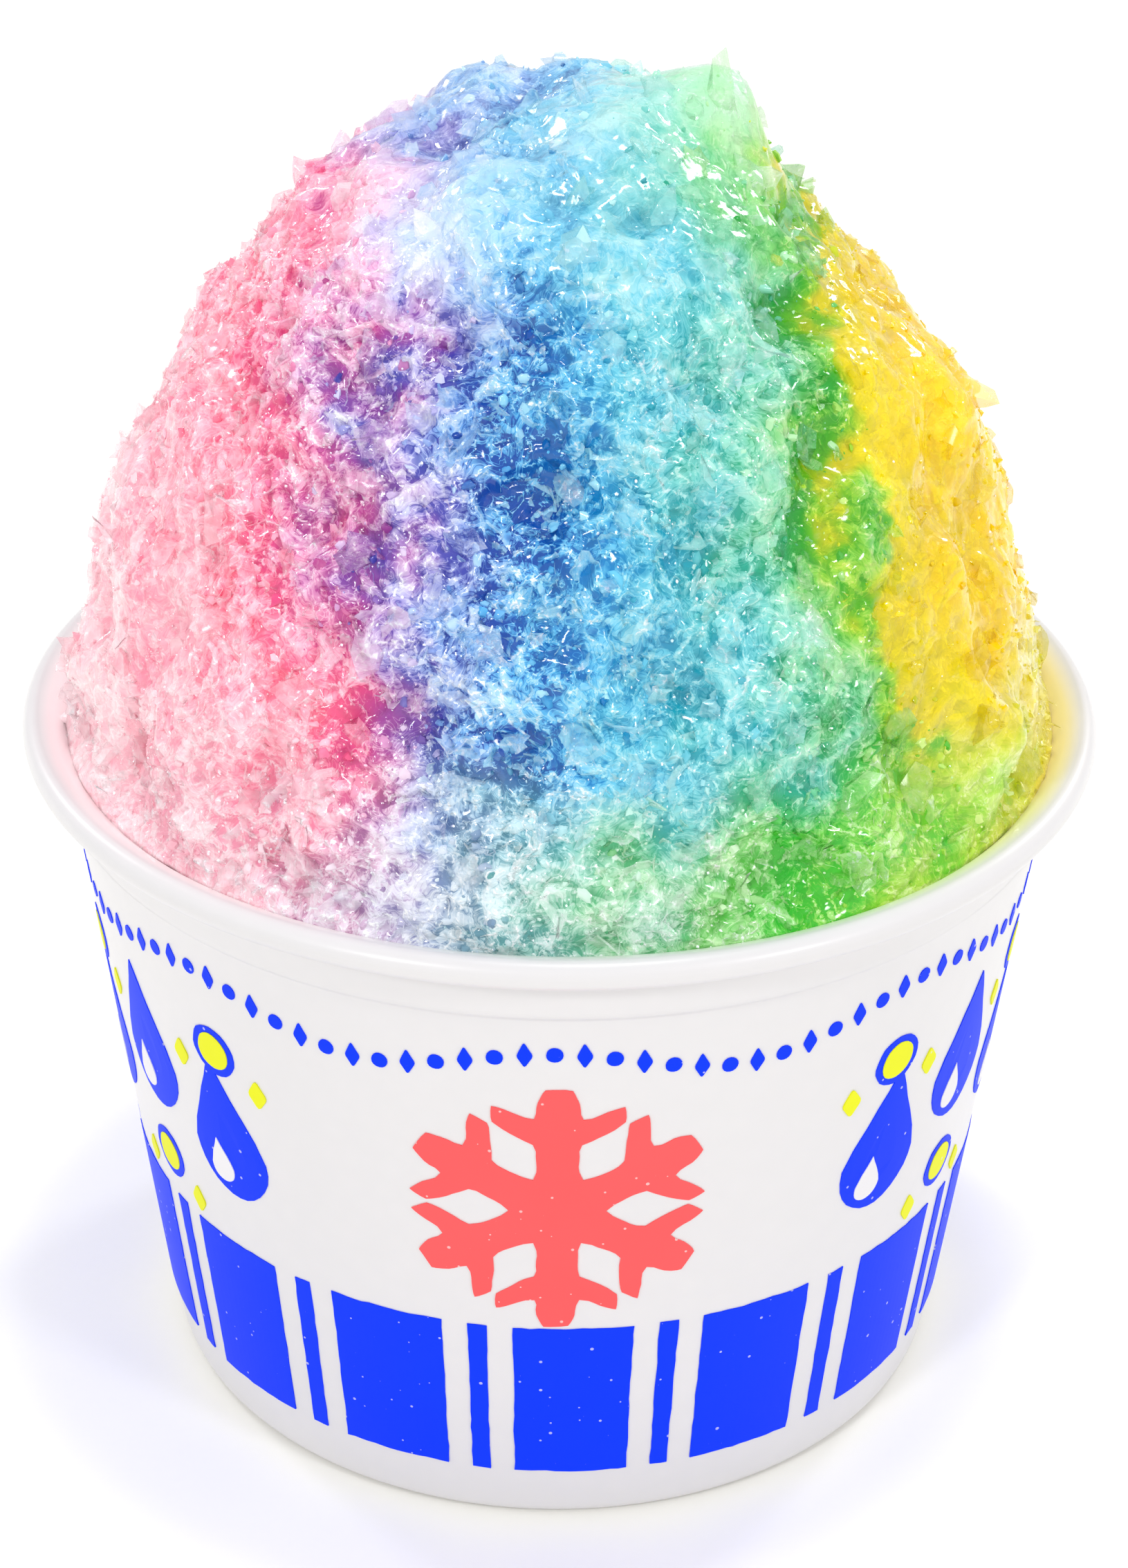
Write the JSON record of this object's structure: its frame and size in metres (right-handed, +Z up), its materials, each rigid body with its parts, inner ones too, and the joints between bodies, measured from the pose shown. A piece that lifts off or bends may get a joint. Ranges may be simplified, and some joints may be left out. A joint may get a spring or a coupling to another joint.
{
  "type": "kakigori",
  "caption": "Tall domed mound of syrup-striped shaved ice filling a tapered round foam cup with a rolled lip, a stacking shoulder and a foot ring.",
  "frame": {"origin": "middle of the circle that the cup's foot ring stands on", "axes": "+Z up along the cup's axis, -Y towards the front, +X to the right seen from the front"},
  "size_m": [0.11, 0.11, 0.1393],
  "materials": {
    "cup": "smooth white foam polystyrene with a soft gloss",
    "shaved_ice": "wet translucent shaved ice in syrup colours"
  },
  "bodies": {
    "root": {"cup": "cup", "shaved_ice": "shaved_ice"}
  },
  "joints": []
}
